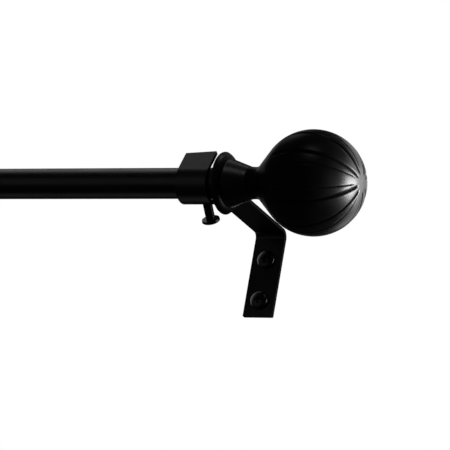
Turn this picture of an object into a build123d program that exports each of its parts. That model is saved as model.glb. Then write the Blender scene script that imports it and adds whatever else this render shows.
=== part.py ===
from build123d import *
import math
import os

# Telescoping curtain rod with two strip-steel wall brackets and two ribbed ball finials.
# Millimetres.  +X runs along the rod to the right-hand finial, +Y points into the wall,
# +Z is up.  The origin is on the wall, midway between the right bracket's two screws.

# --- rod -----------------------------------------------------------------------------
tube_od = 15.88            # 5/8 in thick tube
tube_wall = 0.8
slide_tube_od = 12.7       # 1/2 in tube that joins the two thick ones
closed_length = 711.2      # 28 in from tube end to tube end, pushed together
travel = 254.0             # 10 in out of each thick tube, so 48 in in all
rest_travel = 25.4         # 1 in drawn out on each side as modelled
closed_gap = 0.6           # left between the two mouth lips when pushed together
guide_lip = 1.5
guide_length = 40.0
glide_length = 5.0
glide_spigot = 10.0

# --- fits ----------------------------------------------------------------------------
run_gap = 0.06             # radial, sliding and turning fits
press_gap = 0.02           # radial, pieces pressed together
loose_gap = 0.3            # between neighbours that only come close

# --- bracket strip -------------------------------------------------------------------
strip_width = 17.2
strip_thick = 1.9
projection = 88.9          # 3 1/2 in from the wall to the rod's axis
bend_inside = 3.0
hook_inside = 8.55         # radius of the hook's seat
hook_forward = 0.12        # hook centre nearer the wall than the rod's axis
hook_drop = 0.34           # hook centre below the rod's axis
tongue_lean = 63.0         # degrees above the horizontal
tongue_length = 12.2       # its edge away from the finial
tongue_skew = 1.3          # the end is cut this much longer on the finial's side
flank_lean = 60.0          # back side of the hook, degrees above the horizontal
arm_under = 5.5            # underside of the arm above the rod's axis
plate_drop = 40.8          # lower edge of the wall plate below the rod's axis
corner_radius = 0.5

# --- wall screws, No. 8 pan head -----------------------------------------------------
wall_screw_r = 2.1
wall_hole_r = 2.4
wall_screw_length = 15.9   # 5/8 in under the head
wall_screw_point = 4.5
wall_neck_r = 1.9          # plain neck where it passes the plate
wall_screw_tip_r = 0.3
wall_head_r = 4.9
wall_head_height = 2.7
wall_screw_spacing = 22.6
lower_screw_up = 8.8       # lower screw above the plate's lower edge

# --- lock screw, M5 pan head ---------------------------------------------------------
lock_r = 2.45
lock_angle = -44.0         # from the wall direction, about the rod's axis
lock_offset = 2.3          # from the strip's middle towards the finial
lock_head_r = 4.7
lock_head_height = 2.4
lock_reach = 19.9          # rod axis to the underside of the head

# --- both kinds of pan head, as shares of the head's own size ------------------------
rim_share = 0.45           # straight rim, of the height
recess_width = 1.1
recess_depth = 1.5
recess_share = 1.15        # length of the cross, of the radius

# --- finial --------------------------------------------------------------------------
bead_start = 14.3          # back face of the bead from the bracket's middle
bead_r = 16.0
bead_round = 0.8           # back edge
bead_bow = 0.6             # rise of the bead's front face over a straight one
crease_at = 17.8           # bottom of the crease between bead and cone
crease_r = 11.9
cone_start = 18.6
cone_start_r = 12.45
collar_end = 29.6
collar_end_r = 8.45
neck_r = 8.2
neck_start_r = 8.4
neck_at = 31.6
ball_r = 27.0
ball_at = 64.55
shoulder_lean = 46.0       # conical shoulder that meets the ball
shoulder_fillet = 5.2
socket_depth = 2.4
stud_r = 4.0
stud_in_rod = 18.0
stud_in_ball = 16.0
plug_length = 22.0

# --- ribs of the ball ----------------------------------------------------------------
rib_groups = 4             # each a broad rib with two fine lines, then a plain narrow rib
first_groove = 15.4        # deep groove nearest the front, degrees above the horizontal
broad_rib = 58.0           # degrees round the rod's axis
fine_line_share = 0.25
groove_round = 1.1
groove_depth = 0.9
groove_start = 9.0         # degrees off the tip, where the smooth button ends
fine_round = 0.4
fine_depth = 0.3
fine_start = 14.0
groove_end = 124.0         # every groove runs out under the shoulder
tip_rise = 0.45            # grooves get this much shallower towards the tip

# --- worked out ----------------------------------------------------------------------
tube_r = tube_od / 2
tube_bore = tube_r - tube_wall
slide_r = slide_tube_od / 2
slide_bore = slide_r - tube_wall
plate_bottom = -(lower_screw_up + wall_screw_spacing / 2)
rod_height = plate_bottom + plate_drop
tube_length = closed_length / 2 - guide_lip - closed_gap / 2
tube_end = bead_start + socket_depth - loose_gap
tube_mouth = tube_end - tube_length
lip_face = tube_mouth - guide_lip
middle = lip_face - closed_gap / 2 - rest_travel
drawn_out = closed_gap / 2 + travel
slide_half = drawn_out + guide_lip + guide_length + loose_gap
left_middle = 2 * middle


def on_rod(shape):
    """Put a piece built about the X axis onto the rod's axis."""
    return Location((0, -projection, rod_height)) * shape


def ring_x(start, length, outer, inner=0.0):
    body = Cylinder(outer, length)
    if inner:
        body -= Cylinder(inner, length)
    return Location((start + length / 2, 0, 0), (0, 90, 0)) * body


def to_left_end(shape):
    """Copy a right-hand piece to the left-hand end of the set."""
    return Location((left_middle, 0, 0)) * mirror(shape, about=Plane.YZ)


def strip_path():
    """Middle line of the strip in the YZ plane about the rod's axis, tongue tip first."""
    middle_r = hook_inside + strip_thick / 2
    seat = Vector(0, hook_forward, -hook_drop)

    def at(angle):
        a = math.radians(angle)
        return seat + Vector(0, math.cos(a), math.sin(a)) * middle_r

    front = 90 + tongue_lean
    back = 270 + flank_lean
    lean = math.radians(tongue_lean)
    along = Vector(0, math.cos(lean), math.sin(lean))
    tip = at(front) + along * (tongue_length + tongue_skew)
    arc = Edge.make_three_point_arc(at(front), at((front + back) / 2), at(back))
    arm_z = arm_under + strip_thick / 2
    plate_y = projection - strip_thick / 2
    knee_y = at(back).Y + (arm_z - at(back).Z) / math.tan(math.radians(flank_lean))
    corners = [
        at(back),
        Vector(0, knee_y, arm_z),
        Vector(0, plate_y, arm_z),
        Vector(0, plate_y, -plate_drop),
    ]
    rest = FilletPolyline(*corners, radius=bend_inside + strip_thick / 2)
    return Wire([Edge.make_line(tip, at(front)), arc] + rest.edges())


def tongue_end_cut(tip, heading):
    """Wedge that cuts the tongue's end askew, from the tip on the finial's side."""
    outline = Polyline(
        (strip_width, -tongue_skew / 2),
        (-strip_width, 3 * tongue_skew / 2),
        (-strip_width, -3 * tongue_skew),
        (strip_width, -3 * tongue_skew),
        close=True,
    )
    face = Plane(tip, x_dir=(1, 0, 0), z_dir=Vector(1, 0, 0).cross(heading)) * make_face(outline)
    return extrude(face, amount=strip_thick, both=True)


def bracket():
    """One strip bent into wall plate, arm, hook and tongue."""
    path = strip_path()
    start = path @ 0
    heading = path % 0
    section = Plane(start, x_dir=(1, 0, 0), z_dir=heading) * Rectangle(strip_width, strip_thick)
    strip = sweep(section, path=path)
    strip -= tongue_end_cut(start, heading)
    plate_corners = strip.edges().filter_by(Axis.Y).group_by(Axis.Z)[0]
    strip = fillet(plate_corners, corner_radius)
    tongue_corners = [
        edge for edge in strip.edges()
        if abs(edge.length - strip_thick) < press_gap and (edge @ 0.5).Z > tube_r
    ]
    strip = fillet(tongue_corners, corner_radius)
    for z in (plate_bottom + lower_screw_up, -plate_bottom - lower_screw_up):
        hole = Cylinder(wall_hole_r, 3 * strip_thick)
        strip -= Location((0, projection, z - rod_height), (90, 0, 0)) * hole
    lock_hole = Location((lock_offset, 0, lock_reach / 2)) * Cylinder(lock_r + run_gap, lock_reach)
    return on_rod(strip - lock_axis(lock_hole))


def lock_axis(shape):
    """Turn a piece built up the Z axis onto the lock screw's axis, Z pointing to its head."""
    return Rotation(lock_angle - 90, 0, 0) * shape


def pan_head(radius, height):
    """Domed head on the Z axis with a cross recess, its underside at zero."""
    rim = height * rim_share
    dome = math.radians(45)
    shoulder = (radius * math.sin(dome), rim + (height - rim) * math.cos(dome))
    outline = [
        Polyline((0, height), (0, 0), (radius, 0), (radius, rim)),
        ThreePointArc((radius, rim), shoulder, (0, height)),
    ]
    head = revolve(Plane.XZ * make_face(outline), Axis.Z)
    for angle in (0, 90):
        blade = Box(radius * recess_share, recess_width, 2 * recess_depth)
        head -= Location((0, 0, height), (0, 0, angle)) * blade
    return head


def wall_screws():
    """The pair of wall screws, heads to the room."""
    pair = []
    neck = strip_thick + loose_gap
    thread = wall_screw_length - wall_screw_point - neck
    for z in (-wall_screw_spacing / 2, wall_screw_spacing / 2):
        screw = pan_head(wall_head_r, wall_head_height)
        screw += Location((0, 0, -neck / 2)) * Cylinder(wall_neck_r, neck)
        screw += Location((0, 0, -neck - thread / 2)) * Cylinder(wall_screw_r, thread)
        point = Cone(wall_screw_tip_r, wall_screw_r, wall_screw_point)
        screw += Location((0, 0, -wall_screw_length + wall_screw_point / 2)) * point
        pair.append(Location((0, -strip_thick, z), (90, 0, 0)) * screw)
    return Compound(children=pair)


def lock_screw():
    tip = tube_r + loose_gap
    shank = lock_reach - tip
    screw = Location((lock_offset, 0, lock_reach)) * pan_head(lock_head_r, lock_head_height)
    screw += Location((lock_offset, 0, tip + shank / 2)) * Cylinder(lock_r, shank)
    return on_rod(lock_axis(screw))


def thick_tube():
    return ring_x(tube_mouth, tube_length, tube_r, tube_bore)


def mouth_guide():
    """Plastic bush in the tube's mouth; its lip covers the cut edge of the tube."""
    bore = slide_r + run_gap
    sleeve = ring_x(lip_face, guide_lip + guide_length, tube_bore - press_gap, bore)
    return sleeve + ring_x(lip_face, guide_lip, tube_r, bore)


def slide_tube():
    return ring_x(middle - slide_half, 2 * slide_half, slide_r, slide_bore)


def end_glide():
    """Plug in the slide tube's end; its flange runs in the thick tube and stops at the guide."""
    end = middle + slide_half
    flange = ring_x(end, glide_length, tube_bore - run_gap)
    return flange + ring_x(end - glide_spigot, glide_spigot, slide_bore - press_gap)


def end_plug():
    """Threaded plug pressed into the tube's outer end; the finial screws into it."""
    return ring_x(tube_end - plug_length, plug_length, tube_bore - press_gap, stud_r + run_gap)


def finial_stud():
    start = tube_end - stud_in_rod
    return ring_x(start, collar_end + stud_in_ball - start, stud_r)


def finial_collar():
    """Bead with a bowed front face, a crease, then a cone narrowing to the ball's neck."""
    edge_x = bead_start + bead_round
    edge_r = bead_r - bead_round
    diagonal = bead_round * math.sqrt(0.5)
    chord = Vector(crease_at - edge_x, crease_r - bead_r)
    chord_middle = Vector(edge_x + crease_at, bead_r + crease_r) / 2
    bow = chord_middle + chord.rotate(Axis.Z, 90).normalized() * bead_bow
    outline = [
        Line((bead_start, 0), (bead_start, edge_r)),
        ThreePointArc((bead_start, edge_r), (edge_x - diagonal, edge_r + diagonal), (edge_x, bead_r)),
        ThreePointArc((edge_x, bead_r), bow, (crease_at, crease_r)),
        Polyline(
            (crease_at, crease_r),
            (cone_start, cone_start_r),
            (collar_end, collar_end_r),
            (collar_end, 0),
            (bead_start, 0),
        ),
    ]
    collar = revolve(make_face(outline), Axis.X)
    collar -= ring_x(bead_start, socket_depth, tube_r + loose_gap)
    return collar - ring_x(bead_start, collar_end - bead_start, stud_r + press_gap)


def groove(up, radius, depth, start):
    """Cutter for one groove from the tip's button back to the shoulder, up degrees from the front."""
    span = groove_end - start
    ring = Torus(ball_r - depth + radius, radius, major_angle=span)
    ring = Location((ball_at + tip_rise, 0, 0), (0, 0, start)) * ring
    return Rotation(180 - up, 0, 0) * ring


def finial_ball():
    """Ribbed ball on a waisted neck."""
    ball = Location((ball_at, 0, 0)) * Sphere(ball_r)
    for group in range(rib_groups):
        first = first_groove - group * 360 / rib_groups
        for share in (0, 1):
            up = first - share * broad_rib
            ball -= groove(up, groove_round, groove_depth, groove_start)
        for share in (fine_line_share, 1 - fine_line_share):
            up = first - share * broad_rib
            ball -= groove(up, fine_round, fine_depth, fine_start)
    lean = math.radians(shoulder_lean)
    meet_x = ball_at - ball_r * math.sin(lean)
    meet_r = ball_r * math.cos(lean)
    foot_x = meet_x - (meet_r - neck_r) / math.tan(lean)
    half_turn = shoulder_fillet * math.tan(lean / 2)
    sweep_x = foot_x - half_turn
    sweep_rise = shoulder_fillet * (1 - math.cos(lean / 2))
    sweep_middle = (sweep_x + shoulder_fillet * math.sin(lean / 2), neck_r + sweep_rise)
    sweep_end = (foot_x + half_turn * math.cos(lean), neck_r + half_turn * math.sin(lean))
    waist = [
        Polyline((collar_end, 0), (collar_end, neck_start_r), (neck_at, neck_r), (sweep_x, neck_r)),
        ThreePointArc((sweep_x, neck_r), sweep_middle, sweep_end),
        Polyline(sweep_end, (meet_x, meet_r), (meet_x, 0), (collar_end, 0)),
    ]
    ball += revolve(make_face(waist), Axis.X)
    return ball - ring_x(collar_end, stud_in_ball + loose_gap, stud_r + press_gap)


right = {
    "end_plug": on_rod(end_plug()),
    "finial_stud": on_rod(finial_stud()),
    "finial_collar": on_rod(finial_collar()),
    "finial_ball": on_rod(finial_ball()),
    "thick_tube": on_rod(thick_tube()),
    "mouth_guide": on_rod(mouth_guide()),
    "end_glide": on_rod(end_glide()),
    "bracket": bracket(),
    "wall_screws": wall_screws(),
    "lock_screw": lock_screw(),
}
nodes = {"slide_tube": on_rod(slide_tube())}
for name, shape in right.items():
    nodes["right_" + name] = shape
    nodes["left_" + name] = to_left_end(shape)

os.makedirs("parts", exist_ok=True)
for name, shape in nodes.items():
    export_step(shape, f"parts/{name}.step")
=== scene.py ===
import math
import bmesh
import bpy
from mathutils import Matrix, Vector


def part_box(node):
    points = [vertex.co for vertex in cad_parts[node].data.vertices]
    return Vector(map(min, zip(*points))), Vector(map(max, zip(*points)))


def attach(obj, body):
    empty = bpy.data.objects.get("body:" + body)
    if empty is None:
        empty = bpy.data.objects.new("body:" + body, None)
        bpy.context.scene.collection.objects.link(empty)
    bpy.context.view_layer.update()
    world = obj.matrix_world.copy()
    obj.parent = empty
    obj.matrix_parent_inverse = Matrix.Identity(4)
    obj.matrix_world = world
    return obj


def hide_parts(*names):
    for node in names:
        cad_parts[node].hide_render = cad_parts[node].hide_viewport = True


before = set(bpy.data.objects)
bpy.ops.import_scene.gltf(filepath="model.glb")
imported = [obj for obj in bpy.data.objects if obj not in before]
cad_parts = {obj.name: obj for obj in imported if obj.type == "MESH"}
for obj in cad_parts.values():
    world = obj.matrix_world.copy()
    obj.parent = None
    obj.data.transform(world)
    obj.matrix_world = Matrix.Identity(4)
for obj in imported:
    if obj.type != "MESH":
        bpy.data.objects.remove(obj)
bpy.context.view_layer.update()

# Telescoping curtain rod with bent strip brackets and ribbed ball finials, dressed over its
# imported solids.  Metres.  +X runs along the rod to the right finial, +Y goes into the wall,
# +Z is up.  Lengths below are in millimetres times mm.

mm = 0.001
full_turn = 2 * math.pi
corner_match = 1e-6             # an outline point this near a listed corner is that corner
weld = 1e-7                     # vertices nearer than this become one
on_plane = 1e-8                 # a vertex this near a cutting plane lies on it

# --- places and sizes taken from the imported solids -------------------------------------
strip_low, strip_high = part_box("right_bracket")
tube_low, tube_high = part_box("right_thick_tube")
slide_low, slide_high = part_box("slide_tube")
bush_low, bush_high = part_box("right_mouth_guide")
collar_low, collar_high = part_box("right_finial_collar")
ball_low, ball_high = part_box("right_finial_ball")
stud_low, stud_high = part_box("right_finial_stud")
left_strip_low, left_strip_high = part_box("left_bracket")

bracket_x = (strip_low.x + strip_high.x) / 2
left_bracket_x = (left_strip_low.x + left_strip_high.x) / 2
rod_axis = Vector((bracket_x, (tube_low.y + tube_high.y) / 2, (tube_low.z + tube_high.z) / 2))
mirror_x = (bracket_x + left_bracket_x) / 2
tube_r = (tube_high.z - tube_low.z) / 2
slide_r = (slide_high.z - slide_low.z) / 2
bead_r = (collar_high.z - collar_low.z) / 2
ball_r = (ball_high.z - ball_low.z) / 2
stud_r = (stud_high.z - stud_low.z) / 2

# --- strip of the brackets -------------------------------------------------------------
strip_width = strip_high.x - strip_low.x
strip_thick = 1.9 * mm
strip_edge = 0.2 * mm           # edges rounded by tumbling and paint
corner_radius = 0.5 * mm
bend_inside = 3.0 * mm
hook_inside = 8.55 * mm
hook_forward = 0.12 * mm        # the hook's centre is nearer the wall than the rod's axis
hook_drop = 0.34 * mm           # and below it
tongue_lean = math.radians(63)
tongue_length = 12.2 * mm       # its edge away from the finial
tongue_skew = 1.3 * mm          # the end is cut this much longer on the finial's side
flank_lean = math.radians(60)
arm_under = 5.5 * mm            # underside of the arm above the rod's axis
bend_step = math.radians(5)     # each flat of a bend turns this far
sharp_turn = math.radians(50)   # cut edges turn more than this
wall_hole_r = 2.4 * mm
drill_sides = 48
wall_screw_spacing = 22.6 * mm
wall_screw_heights = (-wall_screw_spacing / 2, wall_screw_spacing / 2)

# --- screws ----------------------------------------------------------------------------
wall_head_r = 4.9 * mm
wall_head_height = 2.7 * mm
wall_screw_r = 2.1 * mm
wall_root_r = 1.5 * mm          # bottom of the thread
wall_tip_r = 0.3 * mm
wall_neck_r = 1.9 * mm          # plain neck where it passes the plate
wall_neck = 2.2 * mm
wall_screw_length = 15.9 * mm
wall_screw_point = 4.5 * mm
wall_pitch = 1.4 * mm
head_rim = 0.45                 # upright part of a head's rim, as a share of its height
head_undercut = 0.12 * mm       # the underside is this much smaller than the rim
blade_span = 1.15               # arm of the cross recess, in head radii
blade_thick = 1.1 * mm
blade_height = 3.0 * mm         # its lower half goes into the head
blade_foot = 0.45               # share of its span at the bottom of the recess
blade_mouth = 1.1               # and above the head
lock_angle = math.radians(-44)  # from the wall direction, about the rod's axis
lock_turn = Matrix.Rotation(lock_angle - math.pi / 2, 3, "X")
lock_head_r = 4.7 * mm
lock_head_height = 2.4 * mm
lock_offset = 2.3 * mm          # from the strip's middle towards the finial
lock_reach = 19.9 * mm          # rod axis to the underside of the head
lock_r = 2.45 * mm
lock_root_r = 2.1 * mm
lock_tip_r = 1.7 * mm
lock_tip_gap = 0.3 * mm         # from its tip to the tube
lock_pitch = 0.8 * mm

# --- tubes and bushes ------------------------------------------------------------------
tube_wall = 0.8 * mm
tube_edge = 0.25 * mm
run_gap = 0.06 * mm
press_gap = 0.02 * mm
bush_lip = 1.5 * mm
bush_round = 0.5 * mm           # outer corner of the lip
bush_edge = 0.2 * mm

# --- finials ---------------------------------------------------------------------------
bead_round = 0.8 * mm           # back edge
bead_bow = 0.6 * mm             # rise of the bead's front face over a straight one
crease_at = 17.8 * mm           # crease between bead and cone, from the bracket's middle
crease_r = 11.9 * mm
cone_back = 18.6 * mm
cone_back_r = 12.45 * mm
cone_front_r = 8.45 * mm
cone_round = 0.3 * mm           # rim of the cone and mouth of the socket
socket_depth = 2.4 * mm
socket_gap = 0.3 * mm
neck_r = 8.2 * mm
neck_start_r = 8.4 * mm         # where it leaves the collar
neck_lip = 2.0 * mm             # the neck narrows over this length past the collar
seam_edge = 0.12 * mm           # softened edges where the neck meets the cone
shoulder_lean = math.radians(46)     # of the flare between neck and ball, from the axis
shoulder_fillet = 5.2 * mm      # between the neck and the flare
stud_in_ball = 16.3 * mm
rib_groups = 4                  # each a broad rib with two fine lines, then a narrow rib
first_groove = math.radians(15.4)    # from the front, over the top
broad_rib = math.radians(58)    # the narrow rib takes the rest of the quarter
fine_line_share = 0.25          # of the broad rib, in from each of its sides
groove_half = 1.4 * mm          # half its width
groove_depth = 1.0 * mm
fine_half = 0.55 * mm
fine_depth = 0.36 * mm
groove_share = 0.24             # of the distance from the axis, where the grooves crowd
valley = 1.8                    # the higher, the sharper the bottom of a groove
button = math.radians(8)        # smooth button at the tip
fine_button = math.radians(14)
groove_end = math.radians(124)  # from the tip, behind the ball's widest part
groove_start_run = math.radians(7)   # a groove reaches its depth over this
groove_end_run = math.radians(8)     # and runs out over this


# --- making pieces ---------------------------------------------------------------------
def piece_from(bm, name, material, body, nodes, smooth_angle=35):
    """Turn a finished bmesh into a piece that rides on a body and stands for CAD nodes."""
    mesh = bpy.data.meshes.new(name)
    bm.to_mesh(mesh)
    bm.free()
    mesh.materials.append(material)
    mesh.polygons.foreach_set("use_smooth", [True] * len(mesh.polygons))
    mesh.set_sharp_from_angle(angle=math.radians(smooth_angle))
    piece = bpy.data.objects.new(name, mesh)
    bpy.context.scene.collection.objects.link(piece)
    weights = piece.modifiers.new("flat faces stay flat", "WEIGHTED_NORMAL")
    weights.keep_sharp = True
    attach(piece, body)
    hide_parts(*nodes)
    return piece


def outline_face(bm, points):
    """Face in the XY plane from outline points."""
    return bm.faces.new([bm.verts.new((x, y, 0)) for x, y in points])


def round_corners(bm, corners, size, segments=5):
    """Round the outline's corners that lie at the given points."""
    picked = [v for v in bm.verts
              if any((v.co.xy - Vector(corner)).length < corner_match for corner in corners)]
    bmesh.ops.bevel(bm, geom=picked, offset=size, offset_type="OFFSET", segments=segments,
                    profile=0.5, affect="VERTICES", material=-1)


def spin_outline(bm, segments=96):
    """Turn the outline, drawn as (along, radius), right round the X axis."""
    bmesh.ops.delete(bm, geom=bm.faces[:], context="FACES_ONLY")
    bmesh.ops.spin(bm, geom=bm.verts[:] + bm.edges[:], cent=(0, 0, 0), axis=(1, 0, 0),
                   angle=full_turn, steps=segments, use_merge=True)
    bmesh.ops.remove_doubles(bm, verts=bm.verts, dist=weld)
    bmesh.ops.recalc_face_normals(bm, faces=bm.faces)


def rolled_grid(columns, rows, place):
    """Roll a flat grid into a closed round body: place gives a point for each column and row."""
    bm = bmesh.new()
    bmesh.ops.create_grid(bm, x_segments=columns, y_segments=rows, size=1)
    for v in bm.verts:
        column = round((v.co.x + 1) / 2 * columns)
        row = round((v.co.y + 1) / 2 * rows)
        v.co = place(column, row)
    bmesh.ops.remove_doubles(bm, verts=bm.verts, dist=weld)
    bmesh.ops.recalc_face_normals(bm, faces=bm.faces)
    return bm


def cut_away(bm, cutter):
    """Cut one bmesh out of another."""
    made = []
    for shape in (bm, cutter):
        mesh = bpy.data.meshes.new("blank")
        shape.to_mesh(mesh)
        shape.free()
        made.append(bpy.data.objects.new("blank", mesh))
        bpy.context.scene.collection.objects.link(made[-1])
    body, tool = made
    cut = body.modifiers.new("cut", "BOOLEAN")
    cut.operation = "DIFFERENCE"
    cut.solver = "EXACT"
    cut.object = tool
    result = bmesh.new()
    result.from_mesh(body.evaluated_get(bpy.context.evaluated_depsgraph_get()).to_mesh())
    for shape in made:
        bpy.data.meshes.remove(shape.data)
    return result


def mirrored(bm):
    """Turn a right-hand piece into the left-hand one, at the other end of the set."""
    bmesh.ops.scale(bm, vec=(-1, 1, 1), verts=bm.verts)
    bmesh.ops.translate(bm, vec=(2 * mirror_x, 0, 0), verts=bm.verts)
    bmesh.ops.reverse_faces(bm, faces=bm.faces)
    return bm


def onto_rod(bm):
    """Move a shape made round the X axis onto the rod's axis."""
    bmesh.ops.translate(bm, vec=(0, rod_axis.y, rod_axis.z), verts=bm.verts)
    return bm


# --- brackets --------------------------------------------------------------------------
def strip_runs():
    """Straight runs and bends of the strip's middle line, from the tongue to the plate.

    Each is a length and a turn; a turn to the left is positive.  The tongue's tip and the
    heading there come first, in the YZ plane about the rod's axis."""
    middle_r = hook_inside + strip_thick / 2
    bend_r = bend_inside + strip_thick / 2
    front = math.pi / 2 + tongue_lean
    back = 3 * math.pi / 2 + flank_lean
    seat = Vector((hook_forward, -hook_drop))
    tip = (seat + middle_r * Vector((math.cos(front), math.sin(front)))
           + tongue_length * Vector((math.cos(tongue_lean), math.sin(tongue_lean))))
    hook_end = seat + middle_r * Vector((math.cos(back), math.sin(back)))
    arm_z = arm_under + strip_thick / 2
    plate_y = -strip_thick / 2 - rod_axis.y
    plate_end = strip_low.z - rod_axis.z
    flank = (arm_z - hook_end.y) / math.sin(flank_lean)
    knee_y = hook_end.x + flank * math.cos(flank_lean)
    knee_cut = bend_r * math.tan(flank_lean / 2)
    runs = [
        (tongue_length, 0),
        (middle_r * (back - front), back - front),
        (flank - knee_cut, 0),
        (bend_r * flank_lean, -flank_lean),
        (plate_y - knee_y - knee_cut - bend_r, 0),
        (bend_r * math.pi / 2, -math.pi / 2),
        (arm_z - bend_r - plate_end, 0),
    ]
    return tip, math.pi + tongue_lean, runs


def along_strip(station, height, tip, heading, runs):
    """Point of the bent strip at a station along it and a height above its middle line."""
    place = tip.copy()
    for length, turn in runs:
        step = min(station, length)
        ahead = Vector((math.cos(heading), math.sin(heading)))
        if turn:
            radius = length / turn
            part = step / radius
            side = Vector((-ahead.y, ahead.x))
            place += radius * (ahead * math.sin(part) + side * (1 - math.cos(part)))
            heading += part
        else:
            place += step * ahead
        station -= step
        if station <= 0:
            break
    across = Vector((-math.sin(heading), math.cos(heading)))
    return place + height * across


def bracket_strip():
    """Blank cut from strip, holes punched, edges tumbled, then bent over its runs."""
    tip, heading, runs = strip_runs()
    length = sum(run for run, turn in runs)
    half = strip_width / 2
    bm = bmesh.new()
    corners = [(-half, 0), (half, -tongue_skew), (half, length), (-half, length)]
    outline_face(bm, corners)
    round_corners(bm, corners, corner_radius, segments=6)
    pushed = bmesh.ops.extrude_face_region(bm, geom=bm.faces[:])
    top = [v for v in pushed["geom"] if isinstance(v, bmesh.types.BMVert)]
    bmesh.ops.translate(bm, vec=(0, 0, strip_thick), verts=top)
    bmesh.ops.translate(bm, vec=(0, 0, -strip_thick / 2), verts=bm.verts)
    bmesh.ops.recalc_face_normals(bm, faces=bm.faces)
    between_screws = length + strip_low.z    # the station where Z is zero
    for up in wall_screw_heights:
        drill = bmesh.new()
        bmesh.ops.create_cone(drill, cap_ends=True, segments=drill_sides, radius1=wall_hole_r,
                              radius2=wall_hole_r, depth=4 * strip_thick)
        bmesh.ops.translate(drill, vec=(0, between_screws - up, 0), verts=drill.verts)
        bm = cut_away(bm, drill)
    sharp = [e for e in bm.edges if e.is_manifold and e.calc_face_angle() > sharp_turn]
    bmesh.ops.bevel(bm, geom=sharp, offset=strip_edge, offset_type="OFFSET", segments=3,
                    profile=0.5, affect="EDGES", material=-1, clamp_overlap=True)
    station = 0
    for run, turn in runs:
        cuts = math.ceil(abs(turn) / bend_step)
        for cut in range(cuts + 1 if cuts else 0):
            bmesh.ops.bisect_plane(bm, geom=bm.verts[:] + bm.edges[:] + bm.faces[:],
                                   dist=on_plane, plane_co=(0, station + run * cut / cuts, 0),
                                   plane_no=(0, 1, 0))
        station += run
    for v in bm.verts:
        bent = along_strip(v.co.y, v.co.z, tip, heading, runs)
        v.co = (v.co.x, bent.x, bent.y)
    drill = bmesh.new()
    bmesh.ops.create_cone(drill, cap_ends=True, segments=drill_sides,
                          radius1=lock_r + run_gap, radius2=lock_r + run_gap, depth=lock_reach)
    bmesh.ops.translate(drill, vec=(lock_offset, 0, lock_reach / 2), verts=drill.verts)
    bmesh.ops.rotate(drill, cent=(0, 0, 0), matrix=lock_turn, verts=drill.verts)
    bm = cut_away(bm, drill)
    return onto_rod(bm)


# --- screws ----------------------------------------------------------------------------
def screw_body(head_r, head_height, neck, neck_r, crest_r, root_r, length, point, pitch, tip_r):
    """Pan-head screw along the Z axis, the head's underside at zero, threaded from the neck on.

    Rows run from the top of the head down to the tip, columns once round."""
    head_rows = 14
    rows_each_turn = 7
    thread_rows = round(length / pitch * rows_each_turn)
    thread_start = head_rows + 2
    tip_row = thread_start + thread_rows
    columns = 40
    flat_crest = 1.6            # 1 gives a sharp crest, more a flat one
    rim = head_rim * head_height
    fade = pitch                # the thread runs out over one turn

    def place(column, row):
        turn = full_turn * column / columns
        if row <= head_rows:
            bow = row / head_rows * math.pi / 2
            r = head_r * math.sin(bow)
            z = rim + (head_height - rim) * math.cos(bow)
        elif row < thread_start:
            r, z = head_r - head_undercut, 0.0
        elif row > tip_row:
            r, z = 0.0, -length
        else:
            down = (row - thread_start) / thread_rows * length
            z = -down
            wave = abs(((down / pitch - column / columns) % 1) - 0.5) * 2
            fullness = max(0, min(1, (down - neck) / fade, (length - down) / fade))
            core = neck_r + (root_r - neck_r) * fullness
            crest = core + (crest_r - core) * fullness * min(1, flat_crest * wave)
            taper = min(1, (length - down) / point) if point else 1
            r = tip_r + (crest - tip_r) * taper if point else crest
            if row == tip_row:
                r = tip_r
        return Vector((r * math.cos(turn), r * math.sin(turn), z))

    bm = rolled_grid(columns, tip_row + 1, place)
    for angle in (0, math.pi / 2):
        blade = bmesh.new()
        bmesh.ops.create_cube(blade, size=1)
        for v in blade.verts:
            # its flat sides lean in less than its ends
            narrow = blade_foot if v.co.z < 0 else blade_mouth
            v.co = Vector((v.co.x * head_r * blade_span * narrow,
                           v.co.y * blade_thick * (0.7 + 0.3 * narrow),
                           v.co.z * blade_height))
        bmesh.ops.rotate(blade, cent=(0, 0, 0), matrix=Matrix.Rotation(angle, 3, "Z"),
                         verts=blade.verts)
        bmesh.ops.translate(blade, vec=(0, 0, head_height), verts=blade.verts)
        bm = cut_away(bm, blade)
    return bm


# --- tubes and bushes ------------------------------------------------------------------
def tube(start, end, outer, inner, edge):
    """Tube along the rod with its cut edges softened."""
    bm = bmesh.new()
    corners = [(start, inner), (end, inner), (end, outer), (start, outer)]
    outline_face(bm, corners)
    round_corners(bm, corners, edge, segments=3)
    spin_outline(bm)
    return onto_rod(bm)


def mouth_bush():
    """Bush in the tube's mouth, with a lip over the tube's cut edge."""
    lip_face = bush_low.x
    lip_back = lip_face + bush_lip
    inner = slide_r + run_gap
    sleeve = tube_r - tube_wall
    bm = bmesh.new()
    outline_face(bm, [(lip_face, inner), (bush_high.x, inner), (bush_high.x, sleeve),
                      (lip_back, sleeve), (lip_back, tube_r), (lip_face, tube_r)])
    round_corners(bm, [(lip_face, tube_r)], bush_round)
    round_corners(bm, [(lip_face, inner), (lip_back, tube_r)], bush_edge)
    spin_outline(bm)
    return onto_rod(bm)


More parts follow.
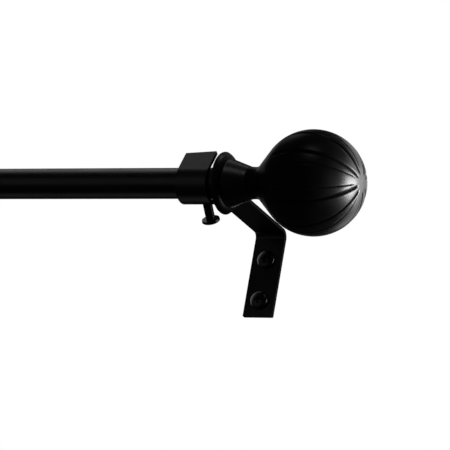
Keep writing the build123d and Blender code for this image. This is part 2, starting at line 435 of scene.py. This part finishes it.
# --- finials ---------------------------------------------------------------------------
def finial_collar():
    """Bead with a bowed front face, a crease, then a cone narrowing to the ball's neck."""
    back = collar_low.x
    front = collar_high.x
    edge = Vector((back + bead_round, bead_r))
    crease = Vector((crease_at, crease_r))
    outward = Vector((bead_r - crease_r, crease_at - edge.x)).normalized()
    bowed = []
    bow_steps = 8
    for step in range(bow_steps + 1):
        share = step / bow_steps
        bowed.append(edge.lerp(crease, share) + 4 * share * (1 - share) * bead_bow * outward)
    bore = stud_r + press_gap
    socket_r = tube_r + socket_gap
    bm = bmesh.new()
    outline_face(bm, [(back, socket_r), (back, bead_r), *bowed, (cone_back, cone_back_r),
                      (front, cone_front_r), (front, bore), (back + socket_depth, bore),
                      (back + socket_depth, socket_r)])
    # a hair under the full radius, so that the round ends before the bowed face begins
    round_corners(bm, [(back, bead_r)], 0.98 * bead_round, segments=6)
    round_corners(bm, [(cone_back, cone_back_r)], cone_round)
    round_corners(bm, [(back, socket_r)], cone_round)
    round_corners(bm, [(front, cone_front_r)], seam_edge)
    spin_outline(bm, segments=128)
    return onto_rod(bm)


def dip(offset, half):
    """Section of a groove: a sharp valley, 1 deep in the middle, with rounded shoulders."""
    share = min(1, abs(offset) / half)
    return (1 - share) ** valley


def finial_ball():
    """Ribbed ball on a waisted neck, with the bore for its stud."""
    centre = ball_high.x - ball_r
    collar_front = ball_low.x
    # the flare touches the ball where they meet, and its line starts from the neck at its foot
    meet_x = centre - ball_r * math.sin(shoulder_lean)
    meet_r = ball_r * math.cos(shoulder_lean)
    foot_x = meet_x - (meet_r - neck_r) / math.tan(shoulder_lean)
    fillet_run = shoulder_fillet * math.tan(shoulder_lean / 2)
    bore_r = stud_r + press_gap
    bore_end = collar_front + stud_in_ball
    # outline as (along, radius): bore, neck, fillet and flare, then the ball to its tip
    profile = [(bore_end, 0), (bore_end, bore_r), (collar_front, bore_r),
               (collar_front, neck_start_r - seam_edge), (collar_front + seam_edge, neck_start_r),
               (collar_front + neck_lip, neck_r)]
    fillet_steps = 6
    for step in range(fillet_steps + 1):
        lean = shoulder_lean * step / fillet_steps
        profile.append((foot_x - fillet_run + shoulder_fillet * math.sin(lean),
                        neck_r + shoulder_fillet * (1 - math.cos(lean))))
    smooth_rows = len(profile)
    ball_rows = 120
    sweep = math.pi / 2 + shoulder_lean
    for step in range(ball_rows + 1):
        polar = sweep * (1 - step / ball_rows)
        profile.append((centre + ball_r * math.cos(polar), ball_r * math.sin(polar)))

    deep = []
    fine = []
    for group in range(rib_groups):
        first = first_groove - group * full_turn / rib_groups
        deep += [first, first - broad_rib]
        fine += [first - share * broad_rib for share in (fine_line_share, 1 - fine_line_share)]
    # columns: even ones all round, closer ones across each groove in their place
    even = 180
    beyond = 1.1                # the closer columns go this far past a groove's edge
    clear = 1.3                 # and the even ones stay this far off
    stations = [full_turn * step / even for step in range(even)]
    for grooves, half, steps in ((deep, groove_half, 8), (fine, fine_half, 5)):
        reach = beyond * half / ball_r
        for middle in grooves:
            stations = [station for station in stations
                        if abs(math.remainder(station - middle, full_turn)) > clear * reach]
            stations += [middle + reach * step / steps for step in range(-steps, steps + 1)]
    stations = sorted(station % full_turn for station in stations)

    def place(column, row):
        # up is measured from the front, over the top
        up = stations[column % len(stations)]
        x, r = profile[row]
        if row >= smooth_rows and r > 0:
            polar = math.atan2(r, x - centre)
            sunk = 0.0
            for grooves, half, depth, start in ((deep, groove_half, groove_depth, button),
                                                (fine, fine_half, fine_depth, fine_button)):
                ease_in = min(1, max(0, (polar - start) / groove_start_run))
                ease_out = min(1, max(0, (groove_end - polar) / groove_end_run))
                ease = ease_in * ease_in * (3 - 2 * ease_in) * ease_out
                room = min(half, groove_share * r)
                for middle in grooves:
                    offset = math.remainder(up - middle, full_turn) * r
                    sunk = max(sunk, ease * depth * dip(offset, room))
            x -= sunk * math.cos(polar)
            r -= sunk * math.sin(polar)
        return Vector((x, -r * math.cos(up), r * math.sin(up)))

    return onto_rod(rolled_grid(len(stations), len(profile) - 1, place))


# --- materials -------------------------------------------------------------------------
def linear(code):
    """sRGB hex colour as a linear colour."""
    channels = [int(code[i:i + 2], 16) / 255 for i in (1, 3, 5)]
    return [c / 12.92 if c <= 0.04045 else ((c + 0.055) / 1.055) ** 2.4 for c in channels] + [1]


def add(tree, kind, sockets=None, **settings):
    """Add a node with its settings; a socket gets a value or another node's output."""
    node = tree.nodes.new(kind)
    for name, value in settings.items():
        setattr(node, name, value)
    for socket, value in (sockets or {}).items():
        if isinstance(value, bpy.types.NodeSocket):
            tree.links.new(value, node.inputs[socket])
        else:
            node.inputs[socket].default_value = value
    return node


def new_material(name):
    """Empty node material and its tree."""
    material = bpy.data.materials.new(name)
    material.use_nodes = True
    material.node_tree.nodes.clear()
    return material, material.node_tree


def powder_coated_steel():
    """Satin black polyester powder on mild steel: a fine orange peel breaks up its shine."""
    material, tree = new_material("satin black powder-coated steel")
    place = add(tree, "ShaderNodeTexCoord").outputs["Object"]
    # cured powder waves, about 1.2 mm apart
    peel = add(tree, "ShaderNodeTexNoise", {"Vector": place, "Scale": 1 / (1.2 * mm),
                                            "Detail": 2.0, "Roughness": 0.5})
    # handling dulls it in patches some 20 mm across
    rubbed = add(tree, "ShaderNodeTexNoise", {"Vector": place, "Scale": 1 / (20 * mm),
                                              "Detail": 4.0, "Roughness": 0.6})
    dull = add(tree, "ShaderNodeMapRange", {"Value": rubbed.outputs["Fac"], "From Min": 0.3,
                                            "From Max": 0.7, "To Min": 0.30, "To Max": 0.40})
    tint = add(tree, "ShaderNodeMix", {"Factor": rubbed.outputs["Fac"], "A": linear("#070708"),
                                       "B": linear("#0b0b0c")}, data_type="RGBA")
    bump = add(tree, "ShaderNodeBump", {"Height": peel.outputs["Fac"], "Strength": 0.12,
                                        "Distance": 0.05 * mm})
    shader = add(tree, "ShaderNodeBsdfPrincipled", {
        "Base Color": tint.outputs["Result"], "Roughness": dull.outputs["Result"],
        "Normal": bump.outputs["Normal"], "IOR": 1.5})
    add(tree, "ShaderNodeOutputMaterial", {"Surface": shader.outputs["BSDF"]})
    return material


def lacquered_resin():
    """Cast resin under gloss black lacquer: deep black, with a soft broad highlight."""
    material, tree = new_material("gloss black lacquered resin")
    place = add(tree, "ShaderNodeTexCoord").outputs["Object"]
    flow = add(tree, "ShaderNodeTexNoise", {"Vector": place, "Scale": 1 / (3 * mm),
                                            "Detail": 2.0, "Roughness": 0.45})
    haze = add(tree, "ShaderNodeTexNoise", {"Vector": place, "Scale": 1 / (14 * mm),
                                            "Detail": 5.0, "Roughness": 0.6})
    dull = add(tree, "ShaderNodeMapRange", {"Value": haze.outputs["Fac"], "From Min": 0.3,
                                            "From Max": 0.7, "To Min": 0.29, "To Max": 0.37})
    bump = add(tree, "ShaderNodeBump", {"Height": flow.outputs["Fac"], "Strength": 0.06,
                                        "Distance": 0.05 * mm})
    shader = add(tree, "ShaderNodeBsdfPrincipled", {
        "Base Color": linear("#040405"), "Roughness": dull.outputs["Result"],
        "Normal": bump.outputs["Normal"], "IOR": 1.5, "Specular IOR Level": 0.45})
    add(tree, "ShaderNodeOutputMaterial", {"Surface": shader.outputs["BSDF"]})
    return material


def black_oxide_steel():
    """Steel screws blackened in a hot bath and oiled: dark metal with sharp glints."""
    material, tree = new_material("black oxide steel")
    place = add(tree, "ShaderNodeTexCoord").outputs["Object"]
    grain = add(tree, "ShaderNodeTexNoise", {"Vector": place, "Scale": 1 / (0.5 * mm),
                                             "Detail": 3.0, "Roughness": 0.55})
    dull = add(tree, "ShaderNodeMapRange", {"Value": grain.outputs["Fac"], "From Min": 0.3,
                                            "From Max": 0.7, "To Min": 0.22, "To Max": 0.38})
    tint = add(tree, "ShaderNodeMix", {"Factor": grain.outputs["Fac"], "A": linear("#2a2b2e"),
                                       "B": linear("#3a3a3d")}, data_type="RGBA")
    bump = add(tree, "ShaderNodeBump", {"Height": grain.outputs["Fac"], "Strength": 0.1,
                                        "Distance": 0.02 * mm})
    shader = add(tree, "ShaderNodeBsdfPrincipled", {
        "Base Color": tint.outputs["Result"], "Roughness": dull.outputs["Result"],
        "Normal": bump.outputs["Normal"], "Metallic": 1.0})
    add(tree, "ShaderNodeOutputMaterial", {"Surface": shader.outputs["BSDF"]})
    return material


def moulded_acetal():
    """Black acetal as moulded: a waxy low shine with the fine grain of the mould."""
    material, tree = new_material("moulded black acetal")
    place = add(tree, "ShaderNodeTexCoord").outputs["Object"]
    grain = add(tree, "ShaderNodeTexNoise", {"Vector": place, "Scale": 1 / (0.6 * mm),
                                             "Detail": 2.0, "Roughness": 0.5})
    dull = add(tree, "ShaderNodeMapRange", {"Value": grain.outputs["Fac"], "To Min": 0.42,
                                            "To Max": 0.55})
    bump = add(tree, "ShaderNodeBump", {"Height": grain.outputs["Fac"], "Strength": 0.15,
                                        "Distance": 0.03 * mm})
    shader = add(tree, "ShaderNodeBsdfPrincipled", {
        "Base Color": linear("#161617"), "Roughness": dull.outputs["Result"],
        "Normal": bump.outputs["Normal"], "IOR": 1.48})
    add(tree, "ShaderNodeOutputMaterial", {"Surface": shader.outputs["BSDF"]})
    return material


def zinc_plated_steel():
    """Bright zinc plate on turned steel: pale metal with faint turning marks and bloom."""
    material, tree = new_material("bright zinc-plated steel")
    place = add(tree, "ShaderNodeTexCoord").outputs["Object"]
    turned = add(tree, "ShaderNodeTexWave", {"Vector": place, "Scale": 1 / (2.5 * mm),
                                             "Distortion": 0.6, "Detail": 1.0},
                 bands_direction="X")
    bloom = add(tree, "ShaderNodeTexNoise", {"Vector": place, "Scale": 1 / (6 * mm),
                                             "Detail": 3.0, "Roughness": 0.6})
    tint = add(tree, "ShaderNodeMix", {"Factor": bloom.outputs["Fac"], "A": linear("#c4c8cc"),
                                       "B": linear("#d9dad6")}, data_type="RGBA")
    dull = add(tree, "ShaderNodeMapRange", {"Value": bloom.outputs["Fac"], "To Min": 0.22,
                                            "To Max": 0.36})
    bump = add(tree, "ShaderNodeBump", {"Height": turned.outputs["Fac"], "Strength": 0.15,
                                        "Distance": 0.02 * mm})
    shader = add(tree, "ShaderNodeBsdfPrincipled", {
        "Base Color": tint.outputs["Result"], "Roughness": dull.outputs["Result"],
        "Normal": bump.outputs["Normal"], "Metallic": 1.0})
    add(tree, "ShaderNodeOutputMaterial", {"Surface": shader.outputs["BSDF"]})
    return material


def floor_panel():
    """Matt white acrylic floor of a light table, lit evenly from below."""
    material, tree = new_material("light table acrylic")
    shader = add(tree, "ShaderNodeBsdfPrincipled", {
        "Base Color": linear("#e8e8e6"), "Roughness": 0.9, "Specular IOR Level": 0.0,
        "Emission Color": linear("#ffffff"), "Emission Strength": 0.82})
    add(tree, "ShaderNodeOutputMaterial", {"Surface": shader.outputs["BSDF"]})
    return material


coated = powder_coated_steel()
resin = lacquered_resin()
oxide = black_oxide_steel()
acetal = moulded_acetal()
zinc = zinc_plated_steel()


# --- put the set together --------------------------------------------------------------
def both_ends(make, name, material, bodies, node, smooth_angle=35):
    """Make a piece for the right end and its mirror image for the left."""
    for side, body in zip(("right", "left"), bodies):
        bm = make()
        if side == "left":
            bm = mirrored(bm)
        piece_from(bm, f"{side}_{name}", material, body, [f"{side}_{node}"], smooth_angle)


def wall_screw_pair():
    """The two wall screws of one bracket as one piece."""
    pair = bmesh.new()
    for up in wall_screw_heights:
        screw = screw_body(wall_head_r, wall_head_height, wall_neck, wall_neck_r, wall_screw_r,
                           wall_root_r, wall_screw_length, wall_screw_point, wall_pitch,
                           wall_tip_r)
        bmesh.ops.rotate(screw, cent=(0, 0, 0), matrix=Matrix.Rotation(math.pi / 2, 3, "X"),
                         verts=screw.verts)
        bmesh.ops.translate(screw, vec=(bracket_x, -strip_thick, up), verts=screw.verts)
        mesh = bpy.data.meshes.new("screw")
        screw.to_mesh(mesh)
        screw.free()
        pair.from_mesh(mesh)
        bpy.data.meshes.remove(mesh)
    return pair


def lock_screw():
    """Lock screw, threaded up to its head, with a blunt tip just clear of the tube."""
    tip = tube_r + lock_tip_gap
    screw = screw_body(lock_head_r, lock_head_height, 0, lock_r, lock_r, lock_root_r,
                       lock_reach - tip, 0, lock_pitch, lock_tip_r)
    bmesh.ops.translate(screw, vec=(lock_offset, 0, lock_reach), verts=screw.verts)
    bmesh.ops.rotate(screw, cent=(0, 0, 0), matrix=lock_turn, verts=screw.verts)
    return onto_rod(screw)


def thick_tube():
    """Outer tube of the right half, between its packed ends."""
    return tube(tube_low.x, tube_high.x, tube_r, tube_r - tube_wall, tube_edge)


both_ends(bracket_strip, "bracket_strip", coated,
          ("wall_bracket", "left_wall_bracket"), "bracket")
both_ends(wall_screw_pair, "wall_screw_pair", oxide,
          ("wall_bracket", "left_wall_bracket"), "wall_screws")
both_ends(lock_screw, "hook_lock_screw", oxide,
          ("right_lock", "left_lock"), "lock_screw")
both_ends(thick_tube, "rod_tube", coated,
          ("right_rod", "left_rod"), "thick_tube")
both_ends(mouth_bush, "mouth_bush", acetal,
          ("right_rod", "left_rod"), "mouth_guide")
both_ends(finial_collar, "bead_and_cone", coated,
          ("right_finial", "left_finial"), "finial_collar")
both_ends(finial_ball, "ribbed_ball", resin,
          ("right_finial", "left_finial"), "finial_ball", smooth_angle=60)
piece_from(tube(slide_low.x, slide_high.x, slide_r, slide_r - tube_wall, tube_edge),
           "inner_rod_tube", coated, "slide", ["slide_tube"])

for side in ("right", "left"):
    for node, material in (("end_plug", zinc), ("finial_stud", zinc), ("end_glide", acetal)):
        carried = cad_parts[f"{side}_{node}"]
        carried.data.materials.clear()
        carried.data.materials.append(material)

# --- studio ----------------------------------------------------------------------------
floor_drop = 1.0                # the set hangs this far above the floor
floor_half = 30
bm = bmesh.new()
bmesh.ops.create_grid(bm, x_segments=1, y_segments=1, size=floor_half)
bmesh.ops.translate(bm, vec=(mirror_x, 0, -floor_drop), verts=bm.verts)
mesh = bpy.data.meshes.new("studio_floor")
bm.to_mesh(mesh)
bm.free()
mesh.materials.append(floor_panel())
floor = bpy.data.objects.new("studio_floor", mesh)
bpy.context.scene.collection.objects.link(floor)
floor.visible_glossy = False    # the black gloss would mirror it, and its light stays off the
floor.visible_diffuse = False   # pieces, which the softboxes light

# the white sweep shows white to the camera, but only its middle lights the black gloss
sweep_middle = (-0.45, 0.83, 0.32)
sweep_edge = 0.91               # cosine of the lit part's half angle
sweep_glow = 0.30
room_glow = 0.012
world = bpy.data.worlds.new("studio")
bpy.context.scene.world = world
world.use_nodes = True
tree = world.node_tree
tree.nodes.clear()
direction = add(tree, "ShaderNodeTexCoord").outputs["Generated"]
facing = add(tree, "ShaderNodeVectorMath", {0: direction, 1: sweep_middle},
             operation="DOT_PRODUCT")
glow_level = add(tree, "ShaderNodeMapRange", {
    "Value": facing.outputs["Value"], "From Min": sweep_edge, "From Max": 1.0,
    "To Min": room_glow, "To Max": sweep_glow}, interpolation_type="SMOOTHSTEP")
camera_ray = add(tree, "ShaderNodeLightPath").outputs["Is Camera Ray"]
seen = add(tree, "ShaderNodeMix", {"Factor": camera_ray, "A": glow_level.outputs["Result"],
                                   "B": 1.0}, data_type="FLOAT")
glow = add(tree, "ShaderNodeBackground", {"Color": linear("#ffffff"),
                                          "Strength": seen.outputs["Result"]})
add(tree, "ShaderNodeOutputWorld", {"Surface": glow.outputs["Background"]})


def soft_panel(name, toward, distance, size, brightness, lit):
    """Square softbox seen from the right hook in a direction, facing it, at a brightness.

    Light linking lets it light only the pieces in the lit list."""
    lamp = bpy.data.lights.new(name, "AREA")
    lamp.shape = "SQUARE"
    lamp.size = size
    lamp.energy = brightness * math.pi * size * size
    panel = bpy.data.objects.new(name, lamp)
    panel.location = rod_axis + distance * Vector(toward).normalized()
    panel.rotation_mode = "QUATERNION"
    panel.rotation_quaternion = (-Vector(toward)).to_track_quat("-Z", "Y")
    bpy.context.scene.collection.objects.link(panel)
    receivers = bpy.data.collections.new(f"lit by {name}")
    for piece in lit:
        receivers.objects.link(piece)
    panel.light_linking.receiver_collection = receivers


def both(name):
    """The right and the left one of a piece."""
    return [bpy.data.objects[f"{side}_{name}"] for side in ("right", "left")]


balls = both("ribbed_ball")
beads = both("bead_and_cone")
wall_screws = both("wall_screw_pair")
steelwork = [piece for piece in bpy.context.scene.objects
             if piece.type == "MESH" and piece not in balls]
to_right = (0.89, 0.45, 0.05)
upper_front = (0.13, -0.65, 0.75)

# direction seen from the hook, distance and size in metres, brightness, pieces lit
soft_panel("right softbox", (0.92, 0.38, 0.03), 1.8, 0.9, 25.0, balls)
soft_panel("right screw softbox", to_right, 1.8, 0.9, 30.0, wall_screws)
soft_panel("right softbox edge", (0.73, 0.65, 0.21), 1.8, 1.6, 2.2, balls)
soft_panel("right rear bounce", (0.45, 0.85, 0.26), 1.8, 2.6, 0.9, balls)
soft_panel("right spill", to_right, 1.8, 0.9, 3.0, steelwork)
soft_panel("overhead softbox", (-0.45, 0.12, 0.885), 1.6, 1.1, 0.72, steelwork)
soft_panel("upper front softbox", upper_front, 1.6, 0.5, 1.2, steelwork)
soft_panel("upper front glow", upper_front, 1.6, 0.5, 0.6, balls)
soft_panel("left front fill", (-0.45, -0.89, -0.06), 2.0, 1.5, 0.14, steelwork)
soft_panel("left kicker", (-0.94, 0.05, 0.32), 1.6, 1.5, 1.5, wall_screws)
soft_panel("low rear fill", (-0.45, 0.42, -0.79), 1.6, 0.9, 0.15, steelwork)
soft_panel("ball side rim light", (-0.68, 0.54, 0.49), 1.8, 0.35, 0.35, balls)
soft_panel("ball top rim light", (-0.50, 0.36, 0.79), 1.8, 0.6, 0.2, balls)
soft_panel("left rear fill", (-0.88, 0.41, 0.23), 1.8, 0.7, 0.4, steelwork)
soft_panel("rear fill", (-0.28, 0.96, -0.02), 2.0, 0.6, 0.7, beads)
soft_panel("upper right glint", (0.45, 0.14, 0.88), 1.6, 0.5, 1.1, beads)
soft_panel("upper rear fill", (0.22, 0.70, 0.68), 1.8, 1.2, 0.13, beads)

# --- camera ----------------------------------------------------------------------------
view_turn = math.radians(28.303)
view_lift = math.radians(-18.526)
view_roll = math.radians(9.796)
view_distance = 2.2
aim_right = 13.153 * mm         # aim point from the rod's axis at the right hook
aim_down = 21.226 * mm
back = Vector((math.sin(view_turn) * math.cos(view_lift),
               -math.cos(view_turn) * math.cos(view_lift), math.sin(view_lift)))
level = Vector((math.cos(view_turn), math.sin(view_turn), 0))
rise = back.cross(level)
right = math.cos(view_roll) * level + math.sin(view_roll) * rise
up = -math.sin(view_roll) * level + math.cos(view_roll) * rise
lens = bpy.data.cameras.new("camera")
lens.sensor_width = 36.0        # millimetres, as is the focal length
lens.lens = 345.86
camera = bpy.data.objects.new("camera", lens)
bpy.context.scene.collection.objects.link(camera)
camera.matrix_world = Matrix.Translation(
    rod_axis + view_distance * back + aim_right * right - aim_down * up
) @ Matrix((right, up, back)).transposed().to_4x4()
bpy.context.scene.camera = camera
bpy.context.scene.view_settings.view_transform = "Standard"   # the white ground stays white
